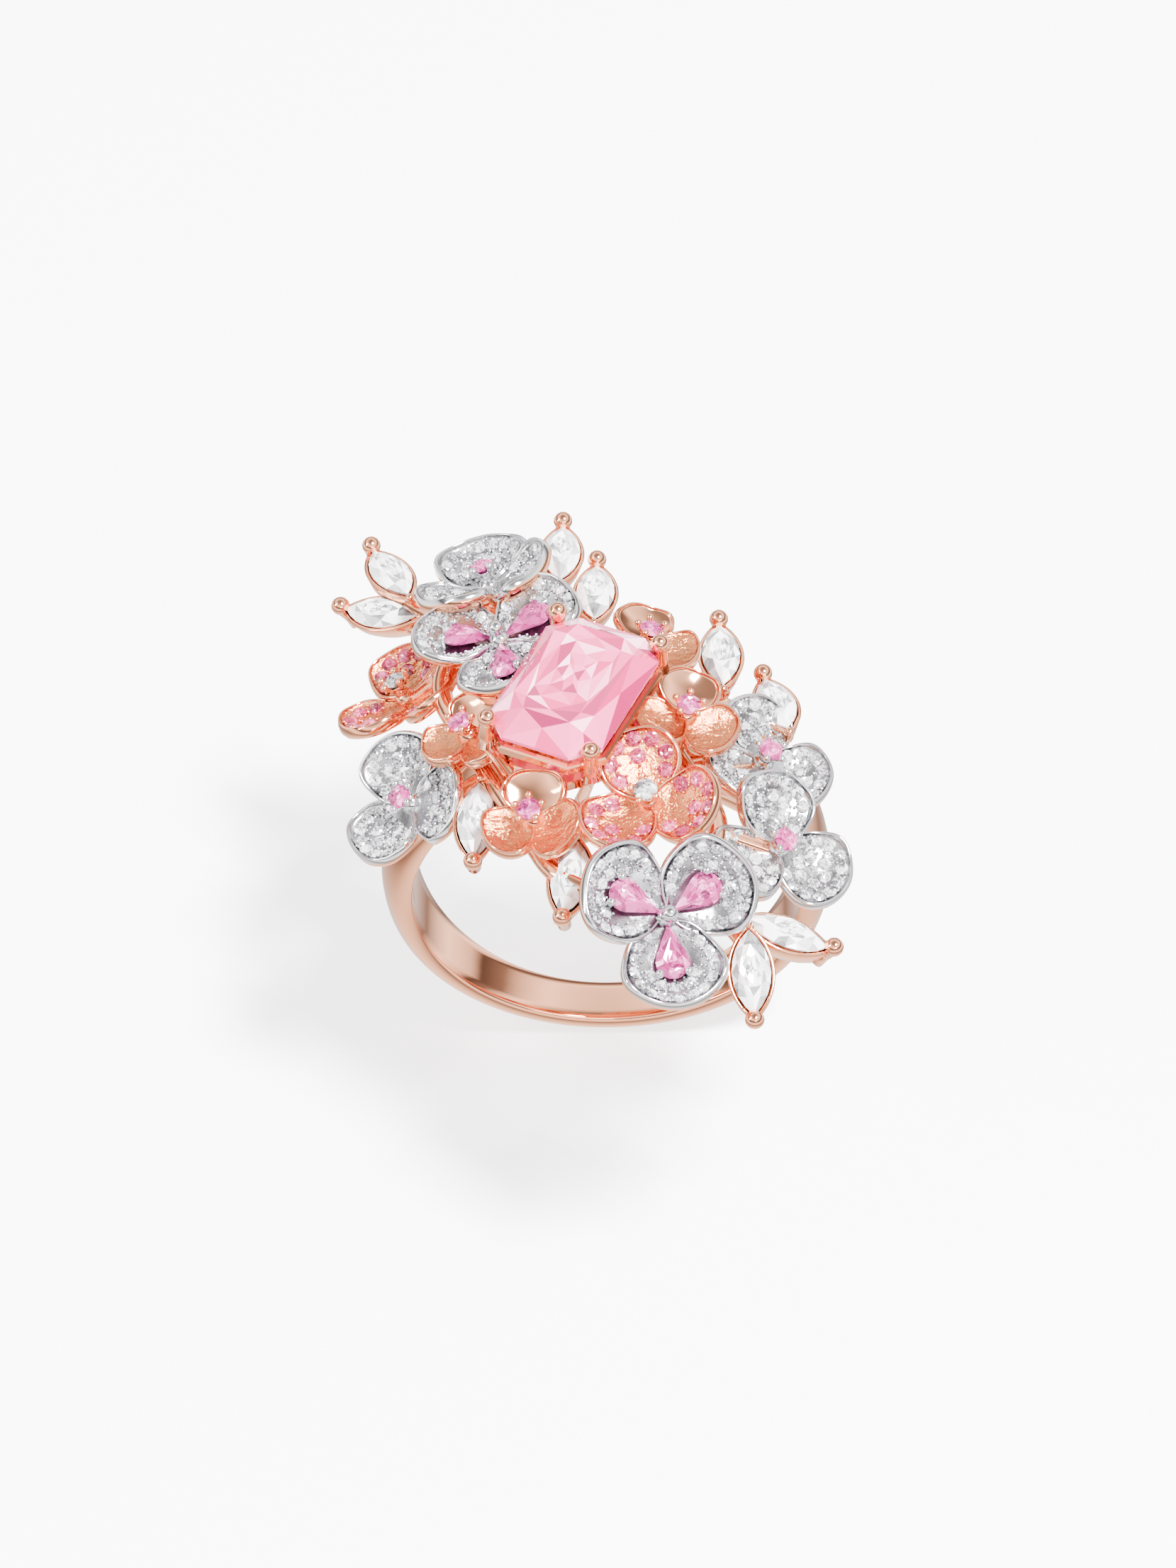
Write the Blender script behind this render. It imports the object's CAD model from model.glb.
import math
import random

import bpy
from mathutils import Matrix, Vector


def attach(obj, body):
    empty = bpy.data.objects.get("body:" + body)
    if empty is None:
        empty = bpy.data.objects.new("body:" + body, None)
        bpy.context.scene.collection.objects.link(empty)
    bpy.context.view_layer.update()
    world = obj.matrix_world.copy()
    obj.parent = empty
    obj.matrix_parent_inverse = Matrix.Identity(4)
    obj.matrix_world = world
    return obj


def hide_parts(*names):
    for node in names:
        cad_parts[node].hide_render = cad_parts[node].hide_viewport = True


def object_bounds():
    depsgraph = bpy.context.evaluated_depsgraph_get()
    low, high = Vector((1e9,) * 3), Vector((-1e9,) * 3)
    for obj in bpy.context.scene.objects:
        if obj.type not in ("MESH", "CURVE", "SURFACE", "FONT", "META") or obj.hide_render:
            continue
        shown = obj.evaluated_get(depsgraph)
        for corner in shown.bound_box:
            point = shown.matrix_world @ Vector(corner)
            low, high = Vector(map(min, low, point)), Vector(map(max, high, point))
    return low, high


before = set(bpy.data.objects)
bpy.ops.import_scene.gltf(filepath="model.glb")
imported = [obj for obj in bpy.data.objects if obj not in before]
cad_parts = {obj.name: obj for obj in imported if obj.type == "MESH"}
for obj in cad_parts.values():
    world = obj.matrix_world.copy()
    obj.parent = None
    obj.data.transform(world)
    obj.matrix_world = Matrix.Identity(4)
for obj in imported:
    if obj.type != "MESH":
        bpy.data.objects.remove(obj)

cad_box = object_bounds()

# ---- Camera ----
# The ring stands upright on its band and is seen from above the front of the finger hole,
# from far enough away that its depth hardly shrinks.
MM = 0.001
camera_rise = math.radians(45)
camera_distance = 350 * MM
camera_target = Vector((-0.80, 2.58, 2.58)) * MM
camera_data = bpy.data.cameras.new("camera")
camera_data.lens = 182.3
camera_data.sensor_width = 36
camera_data.clip_start = 0.01
camera_data.clip_end = 20
camera = bpy.data.objects.new("camera", camera_data)
bpy.context.scene.collection.objects.link(camera)
camera_back = Vector((0, -math.cos(camera_rise), math.sin(camera_rise)))
camera.location = camera_target + camera_distance * camera_back
camera.rotation_euler = (math.pi / 2 - camera_rise, 0, 0)
bpy.context.scene.camera = camera


# ---- Floor and studio light ----
# A pale matt table under a white sky that darkens in a band near the horizon, so that the
# polished metal has something dark to show between its highlights.
class Value:
    """A shader socket that sums and products can be written with."""

    def __init__(self, finish, socket):
        self.finish = finish
        self.socket = socket

    def math(self, operation, a, b):
        return self.finish.node("ShaderNodeMath", {"operation": operation}, {0: a, 1: b})

    def __add__(self, other):
        return self.math("ADD", self, other)

    def __radd__(self, other):
        return self.math("ADD", other, self)

    def __mul__(self, other):
        return self.math("MULTIPLY", self, other)

    def __rmul__(self, other):
        return self.math("MULTIPLY", other, self)


class Finish:
    """A material or world, and the one way that nodes are added to it."""

    def __init__(self, owner, shader_type):
        owner.use_nodes = True
        self.owner = owner
        self.tree = owner.node_tree
        self.shader = next(n for n in self.tree.nodes if n.type == shader_type)

    def node(self, kind, settings=None, inputs=None, out=0):
        new = self.tree.nodes.new(kind)
        for key, value in (settings or {}).items():
            if key == "stops":
                ramp = new.color_ramp
                while len(ramp.elements) < len(value):
                    ramp.elements.new(0.5)
                for element, (place, colour) in zip(ramp.elements, value):
                    element.position = place
                    element.color = (*colour, 1)
            else:
                setattr(new, key, value)
        for key, value in (inputs or {}).items():
            if isinstance(value, Value):
                self.tree.links.new(value.socket, new.inputs[key])
            else:
                new.inputs[key].default_value = value
        return Value(self, new.outputs[out])

    def put(self, **values):
        for key, value in values.items():
            socket = self.shader.inputs[key.replace("_", " ")]
            if isinstance(value, Value):
                self.tree.links.new(value.socket, socket)
            else:
                socket.default_value = value


def new_finish(name):
    return Finish(bpy.data.materials.new(name), "BSDF_PRINCIPLED")


sky = Finish(bpy.data.worlds.new("studio"), "BACKGROUND")
bpy.context.scene.world = sky.owner
sky_way = sky.node("ShaderNodeTexCoord", out="Generated")
sky_height = sky.node("ShaderNodeSeparateXYZ", inputs={0: sky_way}, out=2)
sky_colour = sky.node(
    "ShaderNodeValToRGB",
    {"stops": [
        (0.0, (0.85, 0.83, 0.82)),
        (0.24, (0.14, 0.12, 0.11)),
        (0.38, (0.95, 0.92, 0.90)),
        (0.50, (0.60, 0.58, 0.58)),
        (0.56, (0.05, 0.045, 0.045)),
        (0.66, (0.14, 0.13, 0.13)),
        (0.80, (1.0, 0.99, 0.99)),
        (0.96, (0.16, 0.15, 0.15)),
    ]},
    {0: sky_height * 0.5 + 0.5},
)
sky.put(Color=sky_colour, Strength=3.2)

floor_z = cad_box[0].z
floor_mesh = bpy.data.meshes.new("floor")
floor_half = 1.5
floor_mesh.from_pydata(
    [(-floor_half, -floor_half, floor_z), (floor_half, -floor_half, floor_z),
     (floor_half, floor_half, floor_z), (-floor_half, floor_half, floor_z)],
    [], [(0, 1, 2, 3)])
floor = bpy.data.objects.new("floor", floor_mesh)
bpy.context.scene.collection.objects.link(floor)
floor_finish = new_finish("floor_card")
floor_finish.put(Base_Color=(0.86, 0.85, 0.855, 1), Roughness=0.9,
                 Emission_Color=(1.0, 0.985, 0.99, 1), Emission_Strength=2.6)
floor_mesh.materials.append(floor_finish.owner)
floor.visible_glossy = False


def soft_light(name, place, size, power):
    data = bpy.data.lights.new(name, "AREA")
    data.shape = "RECTANGLE"
    data.size, data.size_y = size[0], size[1]
    data.energy = power
    lamp = bpy.data.objects.new(name, data)
    lamp.location = place
    lamp.rotation_euler = (-Vector(place)).to_track_quat("-Z", "Y").to_euler()
    bpy.context.scene.collection.objects.link(lamp)


soft_light("key_light", (0.17, -0.13, 0.50), (0.11, 0.11), 25)
soft_light("side_light", (-0.42, -0.10, 0.26), (0.08, 0.30), 2.2)
soft_light("front_light", (0.12, -0.40, 0.20), (0.30, 0.06), 0.9)


# ---- Band ----
# The plain rose gold shank, flat inside and rounded outside, which widens from its foot
# towards the shoulders. It is turned and polished, with hair-fine wear from being handled.
class Shape:
    """Collects a piece's points and faces in millimetres, then makes the piece."""

    def __init__(self):
        self.points = []
        self.faces = []
        self.slots = []
        self.smooth = []
        self.facets = []

    def add(self, points, faces, place=None, slots=0, smooth=True, facets=None):
        start = len(self.points)
        for point in points:
            self.points.append(place @ Vector(point) if place else Vector(point))
        for k, face in enumerate(faces):
            self.faces.append([start + p for p in face])
            self.slots.append(slots[k] if isinstance(slots, list) else slots)
            self.smooth.append(smooth)
            self.facets.append(facets[k] if facets else 0.5)

    def piece(self, name, finishes, slot, *nodes):
        mesh = bpy.data.meshes.new(name)
        mesh.from_pydata([p * MM for p in self.points], [], self.faces)
        for finish in finishes:
            mesh.materials.append(finish.owner)
        mesh.polygons.foreach_set("material_index", self.slots)
        mesh.polygons.foreach_set("use_smooth", self.smooth)
        tone = mesh.attributes.new("facet", "FLOAT", "FACE")
        tone.data.foreach_set("value", self.facets)
        mesh.update()
        piece = bpy.data.objects.new(name, mesh)
        bpy.context.scene.collection.objects.link(piece)
        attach(piece, "root")
        if nodes:
            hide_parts(*nodes)
        return piece


def polished_metal(name, colour, roughness, wear_scale=900.0, relief=0.03, height=0.00004):
    """Polished metal with faint handling marks and a slight unevenness in its polish."""
    finish = new_finish(name)
    place = finish.node("ShaderNodeTexCoord", out="Object")
    marks = finish.node("ShaderNodeTexNoise", None,
                        {"Vector": place, "Scale": wear_scale, "Detail": 6.0, "Roughness": 0.65})
    finish.put(Base_Color=(*colour, 1), Metallic=1.0,
               Roughness=marks * (0.8 * roughness) + 0.6 * roughness)
    bump = finish.node("ShaderNodeBump", None,
                       {"Strength": relief, "Distance": height, "Height": marks})
    finish.put(Normal=bump)
    return finish


rose_gold = polished_metal("rose_gold_polish", (0.96, 0.43, 0.24), 0.09)

finger_r = 8.5
band_edge_t = 0.4
band_w_foot = 2.3
band_w_top = 6.6
band_t_foot = 1.15
band_t_gain = 0.25
band_edge_round = 0.1


def band_section(turn):
    """The band's outline at an angle from its foot, where 0 is the foot and pi the top."""
    rise = (1 - math.cos(turn)) / 2
    half_w = (band_w_foot + (band_w_top - band_w_foot) * rise) / 2
    thick = band_t_foot + band_t_gain * min(1, 2 * rise)
    inner = [(-half_w + band_edge_round, finger_r + 0.01), (-half_w, finger_r + band_edge_round)]
    crown = []
    crown_steps = 24
    for k in range(crown_steps + 1):
        s = math.pi * k / crown_steps
        crown.append((-half_w * math.cos(s),
                      finger_r + band_edge_t + (thick - band_edge_t) * math.sin(s)))
    outline = inner + crown + [(-y, r) for y, r in reversed(inner)]
    outline += [(half_w * f, finger_r) for f in (0.6, 0.2, -0.2, -0.6)]
    return [(r * math.sin(turn), y, -r * math.cos(turn)) for y, r in outline]


band = Shape()
band_stations = 240
band_loops = [band_section(2 * math.pi * k / band_stations) for k in range(band_stations)]
band_n = len(band_loops[0])
band_faces = []
for k in range(band_stations):
    j = (k + 1) % band_stations
    for m in range(band_n):
        m2 = (m + 1) % band_n
        band_faces.append((k * band_n + m, k * band_n + m2, j * band_n + m2, j * band_n + m))
band.add([p for loop in band_loops for p in loop], band_faces)
band.piece("band", [rose_gold], "rose_gold", "shank")


# ---- Gallery and posts ----
# The oval rail under the head and the round posts that carry the blossoms and leaves. They
# are drawn wire in rose gold, soldered and polished.
for name in ("gallery", "posts"):
    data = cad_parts[name].data
    data.materials.clear()
    data.materials.append(rose_gold.owner)


# ---- Basket ----
# The setting of the centre stone: two rails that follow its outline, and four round claws
# with ball tips on splayed legs. It is rose gold wire, soldered and polished.
def lathe(profile, around=20):
    """A turned solid through (radius, height) points, closed at both ends."""
    points, faces = [], []
    for r, z in profile:
        angles = [2 * math.pi * k / around for k in range(around)]
        points += [(r * math.cos(a), r * math.sin(a), z) for a in angles]
    for row in range(len(profile) - 1):
        for k in range(around):
            j = (k + 1) % around
            faces.append((row * around + k, row * around + j,
                          (row + 1) * around + j, (row + 1) * around + k))
    faces.append(tuple(range(around - 1, -1, -1)))
    faces.append(tuple((len(profile) - 1) * around + k for k in range(around)))
    return points, faces


def ball(r, around=16):
    """A bead that sits at the origin."""
    steps = around // 2
    angles = [math.pi * k / steps for k in range(steps + 1)]
    return lathe([(r * max(0.02, math.sin(a)), -r * math.cos(a)) for a in angles], around)


def claw(shape, place, foot, tip, r_foot, r_tip):
    """A tapered round claw that ends in a ball."""
    foot, tip = Vector(foot), Vector(tip)
    run = tip - foot
    way = Matrix.Translation(foot) @ run.to_track_quat("Z", "Y").to_matrix().to_4x4()
    h = run.length
    profile = [(r_foot, 0), (r_foot * 0.9, h * 0.4), (r_tip * 0.78, h * 0.8)]
    profile += [(r_tip * math.cos(a), h + r_tip * math.sin(a)) for a in
                (math.radians(d) for d in (-35, -10, 15, 40, 62, 80, 89))]
    shape.add(*lathe(profile, 16), place @ way)


def turn(angle, axis):
    return Matrix.Rotation(math.radians(angle), 4, axis)


stone_l, stone_w, stone_corner = 8.0, 5.3, 1.1
claw_x, claw_y = 3.64, 2.47
claw_lean = 0.06
leg_splay = 1.1
stone_at = Vector((-1.4, -3.0, 13.9))
stone_place = Matrix.Translation(stone_at) @ turn(65.5, "Z")


def cut_corners(l, w, c):
    l, w = l / 2, w / 2
    return [(l, w - c), (l - c, w), (-l + c, w), (-l, w - c),
            (-l, -w + c), (-l + c, -w), (l - c, -w), (l, -w + c)]


def stone_rail(shape, l, w, wall, bottom, height):
    """A flat rail round the stone, with its edges eased."""
    ease = 0.07
    top = bottom + height
    section = [(ease, bottom), (wall - ease, bottom), (wall, bottom + ease), (wall, top - ease),
               (wall - ease, top), (ease, top), (0, top - ease), (0, bottom + ease)]
    points, faces = [], []
    for out, z in section:
        corner = stone_corner * w / stone_w + out * 0.6
        points += [(x, y, z) for x, y in cut_corners(l + 2 * out, w + 2 * out, corner)]
    sides = 8
    for row in range(len(section)):
        up = (row + 1) % len(section)
        for k in range(sides):
            j = (k + 1) % sides
            faces.append((row * sides + k, row * sides + j, up * sides + j, up * sides + k))
    shape.add(points, faces, stone_place, smooth=False)


basket = Shape()
stone_rail(basket, 0.95 * stone_l, 0.945 * stone_w, wall=0.32, bottom=-0.85, height=0.45)
stone_rail(basket, 0.72 * stone_l, 0.66 * stone_w, wall=0.55, bottom=-2.6, height=0.5)
for side_x in (-1, 1):
    for side_y in (-1, 1):
        x, y = side_x * claw_x, side_y * claw_y
        leg_foot = (x - leg_splay * side_x, y - leg_splay * side_y, -4.2)
        claw_tip = (x - claw_lean * side_x, y - claw_lean * side_y, 0.46)
        claw(basket, stone_place, leg_foot, (x, y, -1.0), r_foot=0.3, r_tip=0.32)
        claw(basket, stone_place, (x, y, -1.1), claw_tip, r_foot=0.36, r_tip=0.42)
basket.piece("basket_wire", [rose_gold], "rose_gold", "basket")


# ---- Centre stone ----
# A pink stone with cut corners, ground and polished, that its four claws hold high above the
# blossoms. Its crown and pavilion are flat facets, and its table shows the ones below it.
def cut_stone(outline, table, crown, girdle, depth, keel, inner_rings):
    """A faceted stone over any outline: a function from 0 to 16 that goes once round.

    Its table is broken up by the facets that show through it, as in a real cut stone. Table
    and keel are shares of the outline, and crown, girdle and depth are heights."""
    corner = [Vector((*outline(2 * k), 0)) for k in range(8)]
    middle = [Vector((*outline(2 * k + 1), 0)) for k in range(8)]
    up = Vector((0, 0, 1))
    star = (1 + table) / 2 * 0.96
    low = 0.30 + 0.5 * keel
    points = [c + up * girdle for c in corner]
    points += [m + up * girdle for m in middle]
    points += [c * table + up * crown for c in corner]
    points += [m * star + up * crown * 0.62 for m in middle]
    points += [c - up * girdle for c in corner]
    points += [m - up * girdle for m in middle]
    points += [m * low - up * depth * 0.76 for m in middle]
    points += [c * keel - up * depth for c in corner]
    ring_points = [[start + k for k in range(8)] for start in range(0, 64, 8)]
    top_c, top_m, rim, stars, low_c, low_m, pavilion, bottom = ring_points
    faces = [tuple(reversed(bottom))]
    rings = [rim]
    for row, scale in enumerate(inner_rings):
        ring_of = middle if row % 2 == 0 else corner
        rings.append([len(points) + k for k in range(8)])
        points += [p * table * scale + up * (crown - 0.012 * ((k * 5 + row) % 4))
                   for k, p in enumerate(ring_of)]
    for row in range(len(rings) - 1):
        outer, inner = rings[row], rings[row + 1]
        for k in range(8):
            j = (k + 1) % 8
            if row % 2 == 1:
                faces += [(outer[k], inner[j], inner[k]), (outer[k], outer[j], inner[j])]
            else:
                faces += [(outer[k], outer[j], inner[k]), (outer[j], inner[j], inner[k])]
    points.append(up * crown)
    faces += [(rings[-1][k], rings[-1][(k + 1) % 8], len(points) - 1) for k in range(8)]
    for k in range(8):
        j, h = (k + 1) % 8, (k - 1) % 8
        faces += [
            (top_c[k], stars[k], rim[k], stars[h]),
            (top_c[k], top_m[k], stars[k]), (top_m[k], top_c[j], stars[k]),
            (rim[k], stars[k], rim[j]),
            (top_c[k], low_c[k], low_m[k], top_m[k]), (top_m[k], low_m[k], low_c[j], top_c[j]),
            (low_c[k], pavilion[k], low_m[k]), (low_m[k], pavilion[k], low_c[j]),
            (low_c[k], pavilion[h], bottom[k], pavilion[k]), (bottom[k], bottom[j], pavilion[k]),
        ]
    return points, faces


chance = random.Random(7)


def set_stone(shape, place, outline, table, crown, girdle, depth, keel, inner_rings=(0.6,)):
    """Adds a cut stone whose facets each have a tone of their own."""
    points, faces = cut_stone(outline, table, crown, girdle, depth, keel, inner_rings)
    tones = [chance.random() for _ in faces]
    shape.add(points, faces, place, smooth=False, facets=tones)


def cut_gem(name, colours, ior, metal, shards=0.5):
    """The look of a cut stone, whose facets each return the light in a tone of their own."""
    finish = new_finish(name)
    tone = finish.node("ShaderNodeAttribute", {"attribute_name": "facet"}, out="Fac")
    place = finish.node("ShaderNodeTexCoord", out="Object")
    cells = finish.node("ShaderNodeTexVoronoi", None,
                        {"Vector": place, "Scale": 2500.0}, out="Color")
    depth = finish.node("ShaderNodeSeparateColor", None, {0: cells}, out=0)
    stops = [(k / (len(colours) - 1), c) for k, c in enumerate(colours)]
    colour = finish.node("ShaderNodeValToRGB", {"stops": stops},
                         {0: tone * (1 - shards) + depth * shards})
    finish.put(Base_Color=colour, Roughness=0.02, IOR=ior, Metallic=metal)
    return finish


def cut_corner_outline(k):
    corners = cut_corners(stone_l, stone_w, stone_corner)
    a, b = corners[(k // 2) % 8], corners[(k // 2 + 1) % 8]
    return a if k % 2 == 0 else ((a[0] + b[0]) / 2, (a[1] + b[1]) / 2)


pink_centre = cut_gem(
    "pink_centre_gem",
    [(0.20, 0.003, 0.05), (0.46, 0.025, 0.11), (0.58, 0.06, 0.18), (0.72, 0.13, 0.28),
     (0.96, 0.52, 0.66)],
    ior=1.76, metal=0.12, shards=0.0)
centre = Shape()
set_stone(centre, stone_place, cut_corner_outline, table=0.70, crown=0.95, girdle=0.08,
          depth=3.2, keel=0.12, inner_rings=(0.86, 0.66, 0.44, 0.2))
centre.piece("centre_gem", [pink_centre], "pink_gem", "centre_stone")


# ---- Blossoms ----
# Twelve cast blossoms, each with three dished petals on a hub and a stone or bead in the
# middle. The white gold ones have rose gold backs, and two have a pear stone on each petal.
# Grains raised from the metal hold the small stones, and the four plain ones have none.
WHITE, PANSY, BLUSH, PLAIN = "white", "pansy", "blush", "plain"
# Style, foot, tilt and its heading, turn of the first petal, rise of the petals, their reach
# from the hub, half their length, half their width, and the height of the round heart, which
# the ones with pears don't have.
blossoms = [
    (WHITE, (-5.1, 6.4, 10.9), 26, 138, 98, 20, 1.65, 1.60, 1.75, 1.1),
    (PANSY, (-4.6, 1.9, 12.0), 15, 160, 157, 10, 2.05, 1.85, 1.80, 0.5),
    (BLUSH, (-8.7, 2.4, 8.0), 32, 160, 89, 16, 1.65, 1.50, 1.45, 1.1),
    (WHITE, (-8.4, -3.8, 7.8), 40, -150, 97, 16, 1.65, 1.55, 1.50, 0.9),
    (PLAIN, (-5.9, -2.7, 10.8), 25, -170, 70, 14, 1.10, 1.05, 1.05, 1.0),
    (PLAIN, (-3.1, -7.9, 10.9), 20, -130, 85, 14, 1.20, 1.10, 1.20, 1.0),
    (BLUSH, (1.8, -7.6, 11.7), 19, -120, 100, 20, 1.70, 1.60, 1.50, 1.1),
    (PLAIN, (1.8, 2.0, 11.8), 12, 30, 97, 8, 1.20, 1.10, 1.15, 0.8),
    (PLAIN, (3.4, -2.4, 11.7), 12, -40, 86, 8, 1.25, 1.15, 1.20, 0.8),
    (WHITE, (6.7, -2.6, 9.1), 24, -26, 103, 14, 1.60, 1.48, 1.42, 1.0),
    (WHITE, (7.3, -7.5, 8.9), 30, -39, 98, 8, 1.75, 1.65, 1.55, 0.8),
    (PANSY, (2.5, -12.9, 10.2), 37, -71, 159, 15, 2.08, 1.96, 1.86, 0.6),
]
POLISHED, BACK, INSIDE = 0, 1, 2
petal_turns = (0, -120, 120)
petal_lean = 5
bowl_r = 3.2
petal_t = 0.45
rim_w = 0.1
rim_h = 0.08
ruffle_depth = 0.018
swing_wide, swing_fine = 0.07, 0.03
hub_r = 0.5
grain_r = 0.075
stone_sizes = {WHITE: 0.56, PANSY: 0.54, BLUSH: 0.68}
stem_clear = {WHITE: 0.72, PANSY: 0.5, BLUSH: 0.72}
heart_d = 1.12
pear_l, pear_w, pear_shift = 2.3, 1.4, -0.15
pear_lift = 0.40
pear_claw_turn = 52
bead_r, bead_z = 0.38, 0.72


def blossom_place(foot, tilt, heading, first):
    return (Matrix.Translation(foot) @ turn(heading, "Z") @ turn(tilt, "Y")
            @ turn(first - heading, "Z"))


def petal_place(angle, rise, reach):
    return (turn(angle, "Z") @ turn(-rise, "Y") @ Matrix.Translation((reach, 0, 0))
            @ turn(petal_lean, "X"))


def dish_place(bowl_z, x, y):
    """The frame of a point on a petal's dish, upright to its surface."""
    out = math.hypot(x, y)
    return (Matrix.Translation((0, 0, bowl_z)) @ turn(math.degrees(math.atan2(y, x)), "Z")
            @ turn(-math.degrees(math.asin(out / bowl_r)), "Y")
            @ Matrix.Translation((0, 0, -bowl_r)))


def petal_edge(l, w, s):
    """A point of a petal's outline, an oval that is fuller at its tip."""
    return l * math.cos(s), 1.16 * w * math.sin(s) * (1 + 0.13 * math.cos(s))


def petal_shape(shape, place, l, w, bowl_z, dish, wave):
    """A dished petal with a raised, rounded rim and a plain back.

    Each row of points is a share of the outline, an inset from it and a lift off the dish."""
    around = 72
    inner = (l - rim_w) / l
    dish_rows = [(inner * f, 0.0, 0.0) for f in (0.15, 0.35, 0.55, 0.75, 0.9, 1.0)]
    rim_curve = ((0.94, 0.45), (0.78, 0.85), (0.5, 1.0), (0.22, 0.85), (0.05, 0.4), (0.0, -0.2))
    rim_rows = [(1, rim_w * f, rim_h * h) for f, h in rim_curve]
    side_rows = [(1, 0.03, -0.45 * petal_t), (1, 0.10, -0.78 * petal_t),
                 (1, 0.22, -0.96 * petal_t)]
    back_rows = [(f, 0.0, -petal_t) for f in (0.8, 0.55, 0.3)]
    rows = dish_rows + rim_rows + side_rows + back_rows
    rim_from = len(dish_rows) - 1
    back_from = len(dish_rows) + len(rim_rows)
    points = []
    for f, inset, lift in rows:
        for k in range(around):
            s = 2 * math.pi * k / around
            x, y = petal_edge(l * f - inset, w * f - inset, s)
            ruffle = 1 + f ** 3 * ruffle_depth * math.sin(5 * s + 3 * wave)
            x, y = x * ruffle, y * ruffle
            out = math.hypot(x, y)
            swing = f ** 3 * (swing_wide * wave * math.sin(2 * s + 0.7)
                              + swing_fine * math.sin(5 * s + wave))
            height = bowl_z - math.sqrt(bowl_r ** 2 - out ** 2) + swing
            lean = out / bowl_r
            points.append((x * (1 - lift / bowl_r), y * (1 - lift / bowl_r),
                           height + lift * math.sqrt(1 - lean * lean)))
    points.append((0, 0, bowl_z - bowl_r))
    points.append((0, 0, bowl_z - bowl_r - petal_t))
    faces, slots = [], []
    for k in range(around):
        faces.append((len(points) - 2, k, (k + 1) % around))
        slots.append(dish)
    for r in range(len(rows) - 1):
        for k in range(around):
            j = (k + 1) % around
            faces.append((r * around + k, (r + 1) * around + k,
                          (r + 1) * around + j, r * around + j))
            slots.append(dish if r < rim_from else POLISHED if r < back_from else BACK)
    last = (len(rows) - 1) * around
    for k in range(around):
        faces.append((len(points) - 1, last + (k + 1) % around, last + k))
        slots.append(BACK)
    shape.add(points, faces, place, slots)


def pear_gap(x, y):
    """How far a point of a petal lies outside its pear stone."""
    along = x - pear_shift
    if along > 0:
        return math.hypot(along, y) - pear_w / 2
    return abs(y) - pear_w / 2 * (1 + along / (pear_l - pear_w / 2))


def pave_spots(style, l, w, reach):
    """Rows of small stones that follow the petal's outline, clear of its stem and its pear."""
    d = stone_sizes[style]
    pitch = d + 0.06
    spots = []
    inset = rim_w + d / 2 + 0.03
    while min(l, w) > inset + 0.1:
        ring = [petal_edge(l - inset, w - inset, math.radians(2 * k)) for k in range(181)]
        steps = [math.dist(a, b) for a, b in zip(ring, ring[1:])]
        count = int(sum(steps) / pitch)
        walked, k = 0.0, 0
        for a, step in zip(ring, steps):
            if walked >= k * sum(steps) / max(count, 1) and k < count:
                k += 1
                on_stem = a[0] + reach < stem_clear[style]
                on_pear = style == PANSY and pear_gap(*a) < d / 2 + 0.06
                if not (on_stem or on_pear) and all(math.dist(a, b) > 0.94 * d for b in spots):
                    spots.append(a)
            walked += step
        inset += pitch
    if style != PANSY and all(math.hypot(a, b) > 0.97 * d for a, b in spots):
        spots.append((0.0, 0.0))
    return spots


def round_outline(r):
    return lambda k: (r * math.cos(math.pi * k / 8), r * math.sin(math.pi * k / 8))


def pear_outline(l, w):
    """Round at +X and pointed at -X, with the round end's centre at the origin."""
    r = w / 2
    far = l - r
    touch = math.acos(r / far)

    def at(k):
        if k % 16 == 8:
            return (-far, 0.0)
        side = 1 if k % 16 < 8 else -1
        step = k % 16 if side > 0 else 16 - k % 16
        if step == 7:
            return (-0.62 * far, side * 0.42 * r)
        s = step / 6 * (math.pi - touch)
        return (r * math.cos(s), side * r * math.sin(s))
    return at


white_gold = polished_metal("white_gold_polish", (0.74, 0.74, 0.755), 0.10)
white_seat = polished_metal("white_gold_cut_seats", (0.40, 0.40, 0.415), 0.2,
                            wear_scale=2600.0, relief=0.6)
rose_matt = polished_metal("rose_gold_inside", (0.78, 0.31, 0.13), 0.16,
                           relief=1.0, height=0.00025)
white_gem = cut_gem(
    "white_gem_melee",
    [(0.01, 0.01, 0.012), (0.14, 0.14, 0.15), (0.6, 0.6, 0.62), (1.0, 1.0, 1.0)],
    ior=2.2, metal=0.35)
pink_melee = cut_gem(
    "pink_gem_melee", [(0.06, 0.002, 0.012), (0.32, 0.02, 0.07), (0.85, 0.2, 0.36)],
    ior=2.0, metal=0.3)
pink_heart = cut_gem(
    "pink_gem_heart",
    [(0.04, 0.001, 0.018), (0.22, 0.012, 0.09), (0.42, 0.05, 0.20), (0.85, 0.30, 0.55)],
    ior=1.9, metal=0.25)


def set_brilliant(shape, place, d):
    """Adds a small round stone."""
    set_stone(shape, place, round_outline(d / 2), 0.56, 0.17 * d, 0.03 * d, 0.43 * d, 0.05)


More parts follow.
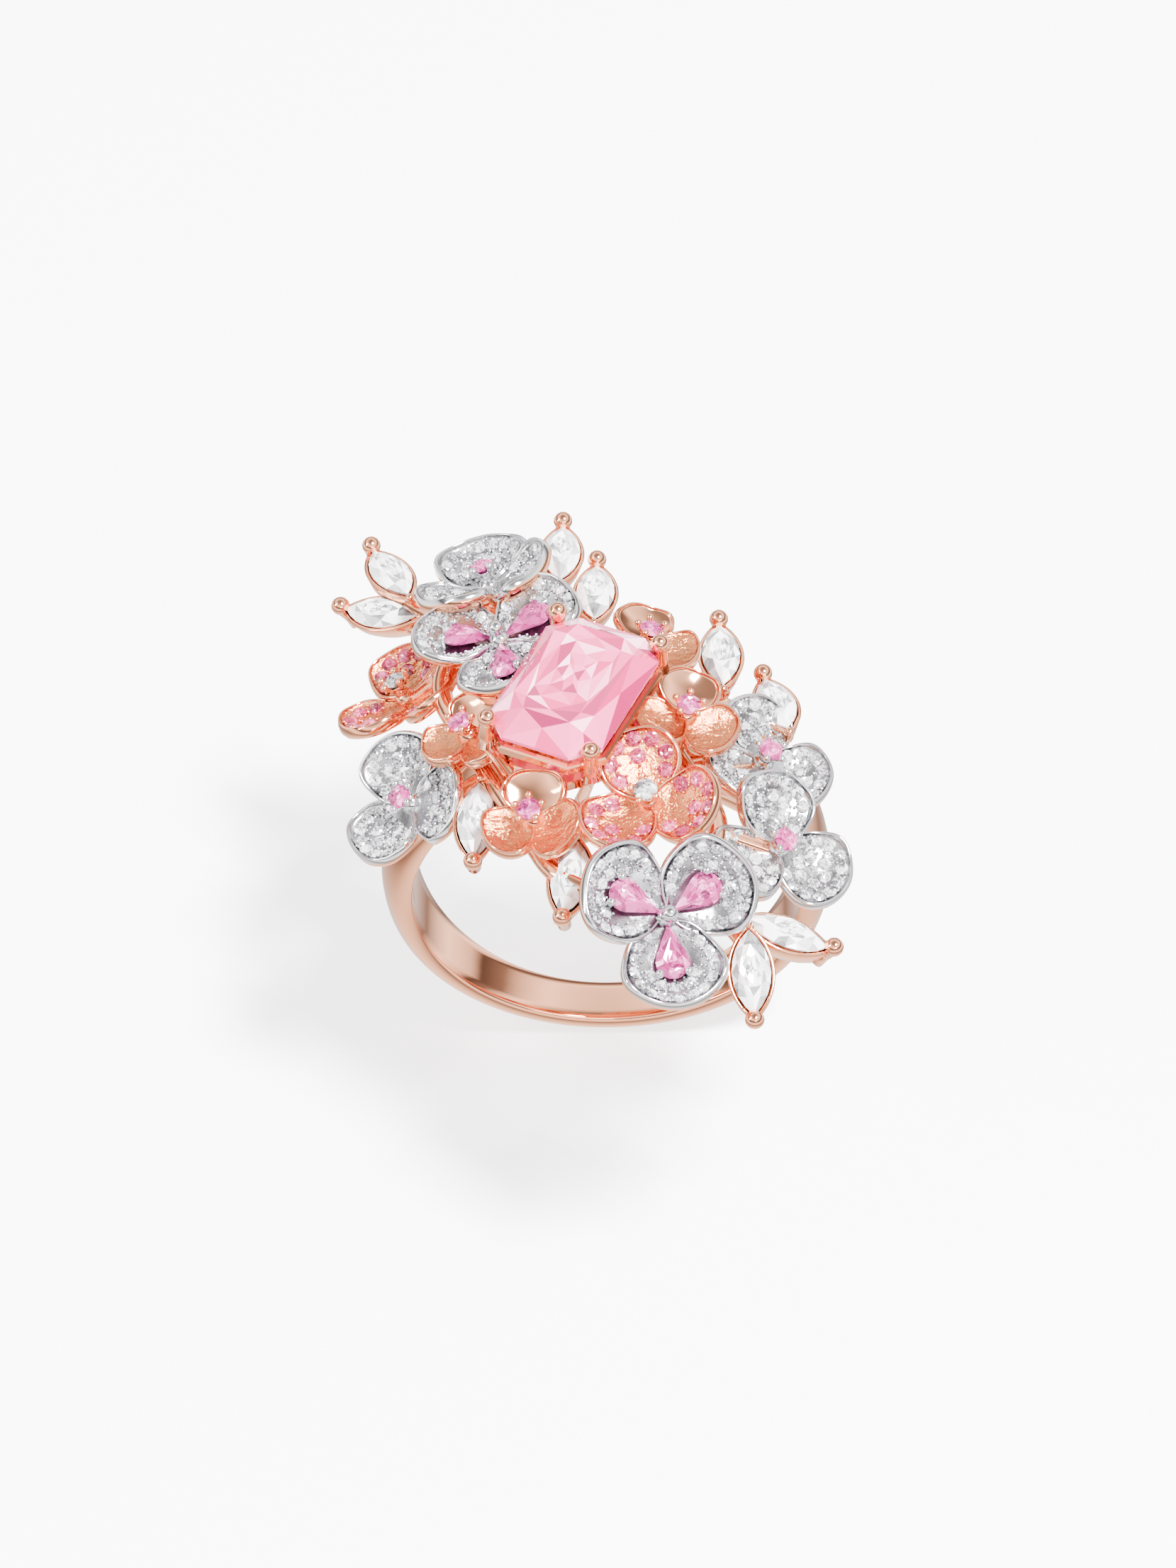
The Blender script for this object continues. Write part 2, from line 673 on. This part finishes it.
def set_pave(pave, petals, place, bowl_z, style, l, w, reach):
    """Adds a petal's small stones, and the grains that hold them where they have room."""
    d = stone_sizes[style]
    grain_out = d / 2 + 0.05
    spots = pave_spots(style, l, w, reach)
    for x, y in spots:
        at = place @ dish_place(bowl_z, x, y) @ Matrix.Translation((0, 0, 0.04))
        set_brilliant(pave, at @ turn(chance.uniform(0, 45), "Z"), d)
        for k in range(6):
            a = 2 * math.pi * k / 6 + math.atan2(y, x)
            gx, gy = x + grain_out * math.cos(a), y + grain_out * math.sin(a)
            clear = all(math.hypot(gx - c, gy - e) > d / 2 + 0.02 for c, e in spots)
            inside = (gx / (l - rim_w)) ** 2 + (gy / (w - rim_w)) ** 2 < 0.98
            if clear and inside:
                at = place @ dish_place(bowl_z, gx, gy) @ Matrix.Translation((0, 0, 0.06))
                petals.add(*ball(grain_r, 8), at)


def set_pear(stones, claws, place, bowl_z):
    """Adds a petal's pear stone, point to the hub, and the two claws at its round end."""
    at = place @ dish_place(bowl_z, pear_shift, 0) @ turn(180, "Z") @ turn(6, "Y")
    set_stone(stones, at @ Matrix.Translation((0, 0, pear_lift)),
              pear_outline(1.06 * pear_l, 1.04 * pear_w), table=0.6, crown=0.26, girdle=0.04,
              depth=0.5, keel=0.2, inner_rings=(0.75, 0.4))
    for side in (-1, 1):
        out = Matrix.Translation((pear_w / 2 + 0.12, 0, 0))
        claw(claws, at @ turn(side * pear_claw_turn, "Z") @ out, (0, 0, -0.2),
             (-0.04, 0, 0.60), 0.14, 0.2)


def set_heart(heart, claws, whole, h):
    """Adds a blossom's round middle stone, in a small cup with five claws."""
    cup = [(0.34, 0.4), (0.24, 0.6), (0.22, h - 0.45), (0.3, h - 0.38), (0.5, h - 0.18),
           (0.4, h - 0.2)]
    claws.add(*lathe(cup, 24), whole)
    for k in range(5):
        claw(claws, whole @ turn(72 * k, "Z"), (0.3, 0, h - 0.38),
             (heart_d / 2 + 0.06, 0, h + 0.1), 0.13, 0.17)
    at = whole @ Matrix.Translation((0, 0, h)) @ turn(chance.uniform(0, 45), "Z")
    set_brilliant(heart, at, heart_d - 0.08)


for number, row in enumerate(blossoms, 1):
    style, foot, tilt, heading, first, rise, reach, l, w, h = row
    name = f"blossom_{number}"
    whole = blossom_place(foot, tilt, heading, first)
    bowl_z = math.sqrt(bowl_r ** 2 - l ** 2)
    white = style in (WHITE, PANSY)
    metal = white_gold if white else rose_gold
    slot = "white_gold" if white else "rose_gold"
    petals, pave = Shape(), Shape()
    heart, claws = Shape(), Shape()
    petals.add(*ball(hub_r, 24), whole)
    for angle in petal_turns:
        place = whole @ petal_place(angle, rise, reach)
        dish = POLISHED if style == PLAIN and angle == 0 else INSIDE
        petal_shape(petals, place, l, w, bowl_z, dish, chance.uniform(-1, 1))
        if style != PLAIN:
            set_pave(pave, petals, place, bowl_z, style, l, w, reach)
        if style == PANSY:
            set_pear(heart, claws, place, bowl_z)
    if style == PANSY:
        claws.add(*ball(bead_r, 24), whole @ Matrix.Translation((0, 0, bead_z)))
    else:
        set_heart(heart, claws, whole, h)
    heart_piece = "pears" if style == PANSY else "heart"
    petals.piece(f"{name}_petal_metal", [metal, rose_gold, white_seat if white else rose_matt],
                 slot, f"{name}_petals")
    claws.piece(f"{name}_claw_metal", [metal], slot, f"{name}_claws")
    heart.piece(f"{name}_{heart_piece}_cut", [white_gem if style == BLUSH else pink_heart],
                "clear_gem" if style == BLUSH else "pink_gem", f"{name}_{heart_piece}")
    if style != PLAIN:
        pave.piece(f"{name}_pave_cut", [pink_melee if style == BLUSH else white_gem],
                   "pink_gem" if style == BLUSH else "clear_gem", f"{name}_pave")


# ---- Leaves ----
# Ten colourless marquise stones, each in a deep V-shaped rose gold collet with a claw over
# its outer tip. They are soldered to posts and stand out from under the blossoms.
leaf_l, leaf_w, leaf_depth = 4.3, 2.05, 1.35
leaf_wall = 0.15
leaf_heel_r = 0.21
# Outer tip, heading, drop of the tip and roll.
leaves = [
    ((-10.4, 11.0, 8.9), 115, 8, 0),
    ((-11.7, 8.4, 7.7), 152, 18, -12),
    ((-1.9, 10.9, 10.5), 88, 5, 0),
    ((-0.4, 8.0, 10.9), 88, 5, 0),
    ((4.9, 5.1, 10.1), 92, 0, 0),
    ((6.8, 2.8, 9.0), 105, 8, 0),
    ((-5.7, -8.4, 8.7), -94, 15, 0),
    ((-1.9, -12.3, 9.3), -100, 12, 0),
    ((6.2, -16.1, 7.1), -86, 30, 0),
    ((9.6, -12.4, 7.6), -8, 20, 0),
]
marquise_gem = cut_gem(
    "white_gem_marquise",
    [(0.05, 0.05, 0.055), (0.30, 0.30, 0.31), (0.65, 0.65, 0.67), (1.0, 1.0, 1.0),
     (1.0, 1.0, 1.0)],
    ior=1.9, metal=0.15, shards=0.15)


def leaf_place(tip, heading, drop, roll):
    return (Matrix.Translation(tip) @ turn(heading, "Z") @ turn(drop, "Y") @ turn(roll, "X")
            @ Matrix.Translation((-leaf_l / 2, 0, 0)))


def marquise_edge(l, w, s):
    """A point of the outline of two arcs that meet in points, for s from 0 to 2."""
    r = (w * w + l * l) / (4 * w)
    reach = math.asin(l / 2 / r)
    side = 1 if s < 1 else -1
    a = reach * (1 - 2 * (s % 1)) * side
    return r * math.sin(a), side * (r * math.cos(a) - r + w / 2)


def loft(shape, loops, place):
    """A solid through loops of points, closed at both ends."""
    n = len(loops[0])
    faces = [tuple(range(n - 1, -1, -1)), tuple((len(loops) - 1) * n + k for k in range(n))]
    for row in range(len(loops) - 1):
        for k in range(n):
            j = (k + 1) % n
            faces.append((row * n + k, row * n + j, (row + 1) * n + j, (row + 1) * n + k))
    shape.add([p for loop in loops for p in loop], faces, place)


def marquise_loop(l, w, z, around=48):
    return [(*marquise_edge(l, w, 2 * k / around), z) for k in range(around)]


leaf_gem_l, leaf_gem_w = leaf_l - 0.6, leaf_w - 0.38


def marquise_outline(k):
    return marquise_edge(leaf_gem_l, leaf_gem_w, (k % 16) / 8)


leaf_gems = Shape()
for number, (tip, heading, drop, roll) in enumerate(leaves, 1):
    place = leaf_place(tip, heading, drop, roll)
    collet = Shape()
    loft(collet, [
        marquise_loop(0.50 * leaf_l, 0.10 * leaf_w, -leaf_depth),
        marquise_loop(0.60 * leaf_l, 0.20 * leaf_w, -0.99 * leaf_depth),
        marquise_loop(0.80 * leaf_l, 0.52 * leaf_w, -0.78 * leaf_depth),
        marquise_loop(0.92 * leaf_l, 0.80 * leaf_w, -0.48 * leaf_depth),
        marquise_loop(leaf_l, leaf_w, -0.06),
        marquise_loop(leaf_l - 0.05, leaf_w - 0.05, 0.0),
        marquise_loop(leaf_l - 3 * leaf_wall + 0.05, leaf_w - 2 * leaf_wall + 0.05, 0.0),
        marquise_loop(leaf_l - 3 * leaf_wall, leaf_w - 2 * leaf_wall, -0.05),
        marquise_loop(0.7 * leaf_l, 0.6 * leaf_w, -0.4 * leaf_depth),
        marquise_loop(0.6 * leaf_l, 0.4 * leaf_w, -0.62 * leaf_depth),
    ], place)
    claw(collet, place, (leaf_l / 2 - 0.42, 0, -0.95), (leaf_l / 2 - 0.07, 0, 0.2), 0.30, 0.42)
    collet.add(*ball(leaf_heel_r), place @ Matrix.Translation((-leaf_l / 2 + 0.05, 0, 0)))
    collet.piece(f"leaf_{number}_collet_metal", [rose_gold], "rose_gold", f"leaf_{number}_collet")
    set_stone(leaf_gems, place @ Matrix.Translation((0, 0, 0.04)), marquise_outline,
              table=0.62, crown=0.4, girdle=0.04, depth=0.62, keel=0.12,
              inner_rings=(0.78, 0.5, 0.2))
leaf_gems.piece("leaf_gems_cut", [marquise_gem], "clear_gem", "leaf_stones")
